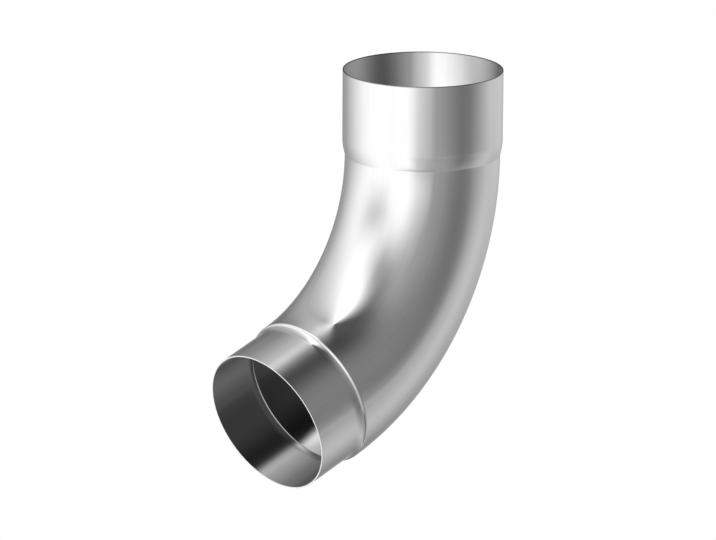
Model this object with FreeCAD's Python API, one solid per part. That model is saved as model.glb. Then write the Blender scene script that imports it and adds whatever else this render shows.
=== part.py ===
import FreeCAD, Part
import math
import os

# Downspout elbow: one piece of drawn sheet metal, open at both ends. A wide socket at the upper
# end takes the pipe from above, and a narrower spigot at the lower end enters the next pipe.
# Sizes are in millimetres. The origin is on the socket's axis, where the upper pipe's end
# stops. +Z runs up the socket, and the bend turns in the XZ plane, down and towards -X.

# The pipe that the elbow joins
pipe_radius = 50.0
pipe_wall = 0.7

# The elbow's own sheet
sheet = 0.8

# Socket: slides over the pipe, and eases down to the bend in a long soft shoulder. A sharp fold
# ends the shoulder. Each fold's radius is the one on its hollow side.
socket_clearance = 0.2
socket_depth = 44.4
socket_step = 1.55
socket_shoulder = 10.5
socket_fold = 0.4

# Bend: radius of its centre line, and its turn
bend_centre_radius = 145.0
bend_angle = 72.0

# Spigot: a crisp ring goes round the end of the bend. Behind it the wall dives in steeply, is
# caught by a softer throat, and tapers on until it runs straight.
spigot_clearance = 1.9
ring_angle = 50.0
ring_fold = 0.7
throat_fold = 2.3
spigot_shoulder = 7.6
spigot_length = 31.6

# Radii of the outer skin
socket_radius = pipe_radius + socket_clearance + sheet
bend_tube_radius = socket_radius - socket_step
spigot_radius = pipe_radius - pipe_wall - spigot_clearance

# The bend starts where the socket's shoulder ends, and turns about a pivot on its inner side
bend_start = -socket_shoulder
bend_base = FreeCAD.Vector(0, 0, bend_start)
bend_pivot = FreeCAD.Vector(-bend_centre_radius, 0, bend_start)
socket_seat = FreeCAD.Vector(0, 0, 0)
y_axis = FreeCAD.Vector(0, 1, 0)
z_axis = FreeCAD.Vector(0, 0, 1)


def point(radius, height):
    """A point of the half section, which is drawn in the XZ plane."""
    return FreeCAD.Vector(radius, 0, height)


def line(start, end):
    """A straight edge of the half section."""
    return Part.LineSegment(start, end).toShape()


def arc(centre, radius, first, last):
    """An arc of the half section between two angles, in degrees from +X towards +Z."""
    stops = [math.radians(degrees) for degrees in (first, (first + last) / 2, last)]
    return Part.Arc(*[centre + point(radius * math.cos(a), radius * math.sin(a)) for a in stops]).toShape()


def square_to_wall(length, lean):
    """An outward vector, square to a wall that leans in by some degrees on its way down."""
    return point(length * math.cos(math.radians(lean)), -length * math.sin(math.radians(lean)))


def two_arcs(length, fall):
    """The lean between two tangent arcs that take a wall in and straight again, and their radii's sum."""
    lean = 2 * math.atan(fall / length)
    return math.degrees(lean), length / math.sin(lean)


def folds(start, inset, *bends):
    """Tangent arcs down a wall, each from its radius and from the wall's lean above and below it.

    Where the lean grows the arc bulges out, and where it falls the arc bulges in. The start and
    the radii belong to the outer skin, and the edges to the skin at the inset from it.
    """
    edges = []
    for radius, above, below in bends:
        bulge, facing = (1, 0) if below > above else (-1, 180)
        centre = start - bulge * square_to_wall(radius, above)
        edges.append(arc(centre, radius - bulge * inset, facing - above, facing - below))
        start = centre + bulge * square_to_wall(radius, below)
    return edges


def socket_skin(inset):
    """The socket's wall from its rim down to the start of the bend."""
    wall = socket_radius - inset
    bore = line(point(wall, socket_depth), point(wall, 0))
    lean, radii = two_arcs(socket_shoulder, socket_step)
    easing = radii - socket_fold
    shoulder = folds(point(socket_radius, 0), inset, (easing, 0, lean), (socket_fold, lean, 0))
    return [bore] + shoulder


def spigot_skin(inset):
    """The spigot's wall from the ring to its lip, drawn straight under the socket."""
    ring = ring_fold + sheet
    dive = math.radians(ring_angle)
    reach = spigot_shoulder - (ring + throat_fold) * math.sin(dive)
    fall = bend_tube_radius - spigot_radius - (ring + throat_fold) * (1 - math.cos(dive))
    taper, radii = two_arcs(reach, fall)
    shoulder = folds(
        point(bend_tube_radius, bend_start),
        inset,
        (ring, 0, ring_angle),
        (throat_fold, ring_angle, taper),
        (radii + throat_fold, taper, 0),
    )
    wall = spigot_radius - inset
    straight = bend_start - spigot_shoulder
    return shoulder + [line(point(wall, straight), point(wall, straight - spigot_length))]


def sheet_turned(skin):
    """Ring-shaped solid between an outer skin and the same skin one sheet further in."""
    outer = Part.Wire(skin(0))
    inner = Part.Wire(skin(sheet))
    ends = [line(outer.OrderedVertexes[i].Point, inner.OrderedVertexes[i].Point) for i in (0, -1)]
    section = Part.Wire(Part.__sortEdges__(outer.Edges + inner.Edges + ends))
    return Part.Face(section).revolve(socket_seat, z_axis, 360)


def make_bend():
    """The round tube, swept about the pivot."""
    radii = (bend_tube_radius, bend_tube_radius - sheet)
    circles = [Part.Wire(Part.Circle(bend_base, z_axis, radius).toShape()) for radius in radii]
    return Part.Face(circles).revolve(bend_pivot, y_axis, bend_angle)


def make_elbow():
    """Socket, bend and spigot as the one piece that they are."""
    socket = sheet_turned(socket_skin)
    spigot = sheet_turned(spigot_skin)
    spigot.rotate(bend_pivot, y_axis, bend_angle)
    return socket.fuse([make_bend(), spigot]).removeSplitter()


os.makedirs("parts", exist_ok=True)
make_elbow().exportStep("parts/elbow.step")
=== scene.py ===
import math

import bmesh
import bpy
from mathutils import Matrix, Vector


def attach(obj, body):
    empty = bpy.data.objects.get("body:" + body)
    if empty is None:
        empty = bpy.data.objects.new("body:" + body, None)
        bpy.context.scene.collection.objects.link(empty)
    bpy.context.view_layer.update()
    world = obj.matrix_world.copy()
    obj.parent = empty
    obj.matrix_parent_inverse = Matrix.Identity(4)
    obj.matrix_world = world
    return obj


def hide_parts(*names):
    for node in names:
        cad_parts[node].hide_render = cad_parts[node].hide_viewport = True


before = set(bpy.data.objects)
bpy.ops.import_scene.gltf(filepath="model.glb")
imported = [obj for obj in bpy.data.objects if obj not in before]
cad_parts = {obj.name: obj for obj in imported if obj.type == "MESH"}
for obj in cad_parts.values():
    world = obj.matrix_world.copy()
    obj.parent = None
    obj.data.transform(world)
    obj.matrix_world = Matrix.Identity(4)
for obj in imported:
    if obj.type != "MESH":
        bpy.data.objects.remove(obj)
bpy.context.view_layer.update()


# Camera
# A long lens a little over three metres off, looking down the inside of the bend from 15 degrees
# above, so that both the socket's mouth and the spigot's mouth show.
camera_data = bpy.data.cameras.new("camera")
camera_data.sensor_width = 36.0
camera_data.lens = 269.75
camera = bpy.data.objects.new("camera", camera_data)
camera.location = (-2.37319, -2.31581, 0.80088)
to_the_right = Vector((0.70803, -0.70618, 0.00487))
to_the_back = Vector((-0.683013, -0.683013, 0.258819))
upwards = to_the_back.cross(to_the_right)
camera.rotation_euler = Matrix((to_the_right, upwards, to_the_back)).transposed().to_euler()
bpy.context.collection.objects.link(camera)
bpy.context.scene.camera = camera


# Elbow
# One length of bright zinc-coated tube, drawn and bent without a seam. Its upper end opens into a
# socket through a long soft shoulder, and its lower end is drawn in behind a crisp ring to make the
# spigot. It is drawn here as a straight tube first, and then bent.
socket_radius = 0.0510
tube_radius = 0.04945
spigot_radius = 0.0474
sheet_thickness = 0.0008

socket_depth = 0.0444
socket_shoulder = 0.0105
socket_fold = 0.0004
bend_radius = 0.145
bend_turn = math.radians(72)
ring_turn = math.radians(50)
ring_fold = 0.0007 + sheet_thickness
throat_fold = 0.0023
spigot_shoulder = 0.0076
spigot_length = 0.0316

cut_edge_rounding = 0.00008
millimetre = 0.001
facets_around = 192
down = Vector((0, 0, -1))


def draw_down(tube, end, length, steps):
    """Draws the tube's section straight down, and returns its new end."""
    for _ in range(steps):
        end = bmesh.ops.extrude_vert_indiv(tube, verts=[end])["verts"][0]
        bmesh.ops.translate(tube, verts=[end], vec=down * (length / steps))
    return end


def draw_round(tube, end, fold_radius, lean, next_lean, steps):
    """Draws the section round a fold, from one lean of the wall to the next, and returns its new end."""
    square_to_wall = Vector((math.cos(lean), 0, -math.sin(lean)))
    side = -1 if next_lean > lean else 1
    folded = bmesh.ops.spin(
        tube,
        geom=[end],
        cent=end.co + side * fold_radius * square_to_wall,
        axis=(0, 1, 0),
        angle=next_lean - lean,
        steps=steps,
        use_merge=False,
    )
    return next(item for item in folded["geom_last"] if isinstance(item, bmesh.types.BMVert))


elbow_mesh = bmesh.new()
rim = elbow_mesh.verts.new((socket_radius, 0, socket_depth))
end = draw_down(elbow_mesh, rim, socket_depth, steps=6)
shoulder_turn = 2 * math.atan((socket_radius - tube_radius) / socket_shoulder)
shoulder_easing = socket_shoulder / math.sin(shoulder_turn) - socket_fold
end = draw_round(elbow_mesh, end, shoulder_easing, 0, shoulder_turn, steps=12)
end = draw_round(elbow_mesh, end, socket_fold, shoulder_turn, 0, steps=8)
end = draw_down(elbow_mesh, end, bend_radius * bend_turn, steps=108)
ring_and_throat = ring_fold + throat_fold
taper_length = spigot_shoulder - ring_and_throat * math.sin(ring_turn)
taper_fall = tube_radius - spigot_radius - ring_and_throat * (1 - math.cos(ring_turn))
taper_turn = 2 * math.atan(taper_fall / taper_length)
taper_easing = taper_length / math.sin(taper_turn) + throat_fold
end = draw_round(elbow_mesh, end, ring_fold, 0, ring_turn, steps=10)
end = draw_round(elbow_mesh, end, throat_fold, ring_turn, taper_turn, steps=8)
end = draw_round(elbow_mesh, end, taper_easing, taper_turn, 0, steps=8)
draw_down(elbow_mesh, end, spigot_length, steps=6)
bmesh.ops.spin(
    elbow_mesh,
    geom=elbow_mesh.verts[:] + elbow_mesh.edges[:],
    cent=(0, 0, 0),
    axis=(0, 0, 1),
    angle=math.tau,
    steps=facets_around,
    use_merge=True,
)
bmesh.ops.remove_doubles(elbow_mesh, verts=elbow_mesh.verts[:], dist=1e-7)
bmesh.ops.recalc_face_normals(elbow_mesh, faces=elbow_mesh.faces[:])

# The drawn lines in the sheet were there before it was bent, so the finish remembers the straight tube
unbent = elbow_mesh.verts.layers.float_vector.new("unbent")
pivot = Vector((-bend_radius, 0, -socket_shoulder))
for vert in elbow_mesh.verts:
    vert[unbent] = vert.co
    below = -socket_shoulder - vert.co.z
    if below > 0:
        turn = min(below / bend_radius, bend_turn)
        vert.co.z += turn * bend_radius
        vert.co = pivot + Matrix.Rotation(turn, 3, "Y") @ (vert.co - pivot)
for face in elbow_mesh.faces:
    face.smooth = True

elbow_data = bpy.data.meshes.new("elbow_sheet")
elbow_mesh.to_mesh(elbow_data)
elbow_mesh.free()
elbow_sheet = bpy.data.objects.new("elbow_sheet", elbow_data)
bpy.context.collection.objects.link(elbow_sheet)
wall = elbow_sheet.modifiers.new("wall", "SOLIDIFY")
wall.thickness = sheet_thickness
wall.offset = -1
wall.use_even_offset = True
wall.material_offset = 1
wall.material_offset_rim = 2
cut_edges = elbow_sheet.modifiers.new("cut_edges", "BEVEL")
cut_edges.width = cut_edge_rounding
cut_edges.segments = 2
cut_edges.limit_method = "ANGLE"
cut_edges.angle_limit = math.radians(60)
cut_edges.harden_normals = True


class Wire:
    """A wire from one socket of a finish's nodes. Arithmetic on wires adds the Math nodes that it needs."""

    def __init__(self, tree, socket=None):
        self.tree = tree
        self.socket = socket

    def node(self, kind, output, settings, sockets):
        """Adds a node, sets it and its sockets, and returns the wire from one of its outputs."""
        added = self.tree.nodes.new(kind)
        for name, value in settings.items():
            setattr(added, name, value)
        for name, value in sockets.items():
            if isinstance(value, Wire):
                self.tree.links.new(added.inputs[name], value.socket)
            else:
                added.inputs[name].default_value = value
        return Wire(self.tree, added.outputs[output] if output is not None else None)

    def maths(self, operation, *values):
        """The result of one Math node."""
        return self.node("ShaderNodeMath", 0, {"operation": operation}, dict(enumerate(values)))

    def rise(self, first, last):
        """Nothing below the first value, all above the last, and a smooth rise between the two."""
        return self.node(
            "ShaderNodeMapRange",
            "Result",
            {"interpolation_type": "SMOOTHSTEP"},
            {"Value": self, "From Min": first, "From Max": last},
        )

    def part(self, axis):
        """The X, Y or Z of a vector."""
        return self.node("ShaderNodeSeparateXYZ", axis, {}, {"Vector": self})

    def grain(self, squeeze, scale, detail):
        """Noise about nothing at this place. A squeeze below 1 along an axis draws it out that way."""
        multiply = {"operation": "MULTIPLY"}
        squeezed = self.node("ShaderNodeVectorMath", "Vector", multiply, {0: self, 1: squeeze})
        noise = {"Vector": squeezed, "Scale": scale, "Detail": detail}
        return self.node("ShaderNodeTexNoise", 0, {}, noise) - 0.5

    def __add__(self, other):
        return self.maths("ADD", self, other)

    def __sub__(self, other):
        return self.maths("SUBTRACT", self, other)

    def __mul__(self, other):
        return self.maths("MULTIPLY", self, other)

    def __rsub__(self, other):
        return self.maths("SUBTRACT", other, self)

    __radd__ = __add__
    __rmul__ = __mul__


def new_finish(name):
    """An empty finish, and a wire to start its nodes from."""
    finish = bpy.data.materials.new(name)
    finish.use_nodes = True
    finish.node_tree.nodes.clear()
    return finish, Wire(finish.node_tree)


def new_elbow_finish(name):
    """The next finish of the elbow, as a wire to start from and the place on the straight tube."""
    finish, start = new_finish(name)
    elbow_data.materials.append(finish)
    return start, start.node("ShaderNodeAttribute", "Vector", {"attribute_name": "unbent"}, {})


def end_as_metal(start, grey, roughness, further):
    """Ends a finish as bare metal of this grey and roughness, and sets further sockets of its shader."""
    colour = start.node("ShaderNodeCombineColor", "Color", {}, dict.fromkeys((0, 1, 2), grey))
    sockets = {"Base Color": colour, "Metallic": 1.0, "Roughness": roughness} | further
    metal = start.node("ShaderNodeBsdfPrincipled", "BSDF", {}, sockets)
    start.node("ShaderNodeOutputMaterial", None, {}, {"Surface": metal})


def relief(start, height_mm):
    """Fine relief of the surface, too shallow to model."""
    return start.node("ShaderNodeBump", "Normal", {}, {"Height": height_mm, "Distance": millimetre})


def painted_rim_shade(tube_place):
    """The narrow strip along the socket's rim, darkened by painted shade."""
    strip_width = 0.0005
    strip_blur = 0.0002
    strip_end = socket_depth - strip_width
    return tube_place.part("Z").rise(strip_end - strip_blur, strip_end + strip_blur)


# Outside, the die has left faint lines along the tube, and the coating is a little cloudy
start, tube_place = new_elbow_finish("bright_zinc_sheet")
die_lines = tube_place.grain(squeeze=(1, 1, 0.015), scale=700, detail=3)
clouds = tube_place.grain(squeeze=(1, 1, 0.4), scale=60, detail=3)
waves = tube_place.grain(squeeze=(1, 1, 0.5), scale=24, detail=0)
# The strip along the socket's rim is darkened with painted shade
zinc_grey = (0.80 + 0.06 * clouds + 0.08 * die_lines) * (1 - 0.5 * painted_rim_shade(tube_place))
zinc_roughness = 0.08 + 0.10 * clouds + 0.08 * die_lines
zinc_relief = relief(start, 0.06 * waves + 0.007 * die_lines)
zinc_tint = (0.81, 0.81, 0.81, 1)
end_as_metal(start, zinc_grey, zinc_roughness, {"Specular Tint": zinc_tint, "Normal": zinc_relief})

# Inside, painted light and shade stand in for the metal's own reflection: a painted reflection in a
# stripe along the outer wall of the bend, and a painted highlight on the crest behind the ring all round.
# The rest is painted shade, the darker the further down the tube, until painted light lightens it again
# in the spigot, across from the stripe.
stripe_at_rim = math.radians(42)
stripe_drift = math.radians(40)
ring_height = -socket_shoulder - bend_radius * bend_turn
darkest_shade_height = ring_height + 0.0027
crest_height = ring_height - 0.0013
crest_half_width = 0.0005
crest_blur = 0.0003
spigot_height = ring_height - 0.0048
spigot_blur = 0.0015

start, tube_place = new_elbow_finish("zinc_inside_painted_light_and_shade")
height = tube_place.part("Z")
down_range = {"Value": height, "From Min": socket_depth, "From Max": darkest_shade_height}
down_tube = start.node("ShaderNodeMapRange", "Result", {}, down_range)
in_spigot = 1 - height.rise(spigot_height - spigot_blur, spigot_height + spigot_blur)
round_tube = start.maths("ARCTAN2", tube_place.part("Y"), tube_place.part("X"))
near_stripe = start.maths("COSINE", round_tube - (stripe_at_rim - stripe_drift * down_tube))
stripe_edge = 0.95 - 0.045 * down_tube - 0.015 * in_spigot
stripe_blur = 0.15 - 0.12 * down_tube
# Painted reflection: a bright stripe along the tube, drifting round it further down
painted_reflection_stripe = near_stripe.rise(stripe_edge - stripe_blur, stripe_edge + stripe_blur)
across = 1 - near_stripe.rise(-0.9, 0.1)
off_crest = start.maths("ABSOLUTE", height - crest_height)
# Painted highlight: a thin bright line on the crest behind the ring
painted_crest_highlight = 1 - off_crest.rise(crest_half_width - crest_blur, crest_half_width + crest_blur)
draw_marks = tube_place.grain(squeeze=(1, 1, 0.02), scale=420, detail=3)
stains = tube_place.grain(squeeze=(1, 1, 0.5), scale=45, detail=3)

# Painted shade, darker further down the tube, and painted light in the spigot across from the stripe
painted_shade_and_light_grey = 0.42 - 0.34 * down_tube + in_spigot * (0.07 + 0.20 * across)
painted_reflection_grey = 0.95 - 0.10 * down_tube - 0.30 * in_spigot
inside_grey = painted_shade_and_light_grey + painted_reflection_stripe * (painted_reflection_grey - painted_shade_and_light_grey)
# The crest gets its painted highlight, and the strip along the rim its painted shade
inside_grey = (inside_grey + painted_crest_highlight * (1 - inside_grey)) * (1 - 0.6 * painted_rim_shade(tube_place))
inside_grey = inside_grey * (1 + 0.12 * stains + 0.10 * draw_marks)
inside_roughness = 0.12 + 0.12 * stains + 0.10 * draw_marks
inside_relief = relief(start, 0.05 * stains + 0.006 * draw_marks)
inside_tint = (0.5, 0.5, 0.5, 1)
end_as_metal(start, inside_grey, inside_roughness, {"Specular Tint": inside_tint, "Normal": inside_relief})

# The cut edges are a little rough from the shears. Their grey is a painted highlight at the spigot's lip and
# painted shade at the socket's rim
start, tube_place = new_elbow_finish("cut_zinc_edge_painted_light")
painted_edge_light_and_shade = 1.0 - 0.85 * tube_place.part("Z").rise(0.0, socket_depth)
end_as_metal(start, painted_edge_light_and_shade, roughness=0.3, further={})

# The metal shows the studio only. Its own reflection is left out, and the painted shade and highlights inside
# stand for it.
elbow_sheet.visible_glossy = False
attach(elbow_sheet, "root")
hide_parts("elbow")


# Studio floor
# A plain pale sheet well below the elbow, which hangs from its pipe. Its rim fades out, so that the
# floor has no edge against the white behind it.
floor_height = -2.2
floor_radius = 3.6
floor_plain_share = 0.6

floor_disc = bmesh.new()
bmesh.ops.create_circle(floor_disc, cap_ends=True, segments=96, radius=1)
floor_data = bpy.data.meshes.new("floor")
floor_disc.to_mesh(floor_data)
floor_disc.free()
floor = bpy.data.objects.new("floor", floor_data)
floor.location = (0, 0, floor_height)
floor.scale = (floor_radius, floor_radius, 1)
bpy.context.collection.objects.link(floor)

floor_finish, start = new_finish("pale_floor")
place = start.node("ShaderNodeTexCoord", "Object", {}, {})
from_rim = start.node("ShaderNodeTexGradient", "Fac", {"gradient_type": "SPHERICAL"}, {"Vector": place})
solid = from_rim.rise(0, 1 - floor_plain_share)
pale = start.node("ShaderNodeBsdfDiffuse", "BSDF", {}, {"Color": (0.94, 0.94, 0.94, 1)})
clear = start.node("ShaderNodeBsdfTransparent", "BSDF", {}, {})
faded = start.node("ShaderNodeMixShader", 0, {}, {0: solid, 1: clear, 2: pale})
start.node("ShaderNodeOutputMaterial", None, {}, {"Surface": faded})
floor_data.materials.append(floor_finish)


# Studio light
# An even white room, and a light tent hung round the elbow, as for any picture of bright metal. The
# tent's white cloth and its soft grey and black panels show in the metal only, where they make its
# long highlight and its dark bands.
room = bpy.data.worlds.new("white_room")
room.use_nodes = True
room.node_tree.nodes["Background"].inputs["Color"].default_value = (1, 1, 1, 1)
room.node_tree.nodes["Background"].inputs["Strength"].default_value = 1.0
bpy.context.scene.world = room
tent_middle = (-0.04, 0, -0.08)
tent_radius = 2.0

tent_mesh = bmesh.new()
bmesh.ops.create_uvsphere(tent_mesh, u_segments=96, v_segments=48, radius=tent_radius)
tent_data = bpy.data.meshes.new("light_tent")
tent_mesh.to_mesh(tent_data)
tent_mesh.free()
tent = bpy.data.objects.new("light_tent", tent_data)
tent.location = tent_middle
bpy.context.collection.objects.link(tent)

tent_finish, start = new_finish("tent_cloth")
place = start.node("ShaderNodeTexCoord", "Object", {}, {})
round_tent = start.maths("ARCTAN2", place.part("X"), place.part("Y")) * math.degrees(1)
distance = start.node("ShaderNodeVectorMath", "Value", {"operation": "LENGTH"}, {"Vector": place})
up_tent = start.maths("ARCSINE", start.maths("DIVIDE", place.part("Z"), distance)) * math.degrees(1)


def hang_panel(cloth, side, half_width, side_blur, bottom, top, end_blur, tone):
    """Hangs a soft-edged panel in the tent, over what hangs there, and returns how bright the cloth is.

    All but its tone is in degrees: its side is the way round from +Y towards +X, and its bottom and
    top are the way up from the horizon.
    """
    away = round_tent.maths("PINGPONG", round_tent - side, 180)
    panel = 1 - away.rise(half_width - side_blur, half_width + side_blur)
    panel = panel * up_tent.rise(bottom - end_blur, bottom + end_blur)
    panel = panel * (1 - up_tent.rise(top - end_blur, top + end_blur))
    return cloth + panel * (tone - cloth)


# The camera stands at the side of -134 degrees. Behind the elbow hangs pale cloth with a black panel.
white_cloth = 1.25
cloth = white_cloth
cloth = hang_panel(cloth, side=65, half_width=45, side_blur=15, bottom=-90, top=70, end_blur=5, tone=0.90)
cloth = hang_panel(cloth, side=40, half_width=20, side_blur=15, bottom=-10, top=50, end_blur=20, tone=0.05)

# On the camera's right a dark wall makes the long band down the bend
cloth = hang_panel(cloth, side=165, half_width=45, side_blur=40, bottom=-15, top=95, end_blur=5, tone=0.20)

# Overhead it is black, from the right to over the camera
cloth = hang_panel(cloth, side=145, half_width=85, side_blur=45, bottom=50, top=85, end_blur=25, tone=0.05)
cloth = hang_panel(cloth, side=-140, half_width=50, side_blur=25, bottom=35, top=95, end_blur=25, tone=0.10)

# A small grey panel on the left shows as the smudge in the highlight
cloth = hang_panel(cloth, side=-70, half_width=20, side_blur=20, bottom=5, top=25, end_blur=15, tone=0.70)

# Greys low behind the elbow, low on the right, and upright at the far left
cloth = hang_panel(cloth, side=40, half_width=65, side_blur=45, bottom=-95, top=-20, end_blur=25, tone=0.30)
cloth = hang_panel(cloth, side=175, half_width=65, side_blur=45, bottom=-105, top=-10, end_blur=10, tone=0.40)
cloth = hang_panel(cloth, side=10, half_width=20, side_blur=45, bottom=-25, top=85, end_blur=10, tone=0.35)

# The darkest strips of the wall on the right
cloth = hang_panel(cloth, side=180, half_width=30, side_blur=5, bottom=-10, top=40, end_blur=20, tone=0.25)
cloth = hang_panel(cloth, side=165, half_width=15, side_blur=20, bottom=-35, top=-5, end_blur=25, tone=0.15)

# A lamp high on the left makes the long highlight, and a grey panel by the camera ends it
cloth = hang_panel(cloth, side=-95, half_width=30, side_blur=35, bottom=60, top=100, end_blur=25, tone=2.00)
cloth = hang_panel(cloth, side=-150, half_width=15, side_blur=30, bottom=-5, top=50, end_blur=20, tone=0.45)

# White cloth on the camera's left gives the highlight on the socket its crisp end
cloth = hang_panel(
    cloth, side=-105, half_width=15, side_blur=10, bottom=-40, top=10, end_blur=10, tone=white_cloth
)

# Dark sheets low in front draw the shoulder's fold and the lower side of the ring
cloth = hang_panel(cloth, side=-70, half_width=50, side_blur=20, bottom=-110, top=-50, end_blur=10, tone=0.45)
cloth = hang_panel(cloth, side=-125, half_width=30, side_blur=15, bottom=-110, top=-45, end_blur=5, tone=0.15)

glow = start.node("ShaderNodeEmission", "Emission", {}, {"Color": (1, 1, 1, 1), "Strength": cloth})
start.node("ShaderNodeOutputMaterial", None, {}, {"Surface": glow})
tent_finish.cycles.emission_sampling = "NONE"
tent_data.materials.append(tent_finish)
tent.visible_camera = False
tent.visible_diffuse = False
tent.visible_shadow = False

bpy.context.scene.view_settings.view_transform = "Standard"
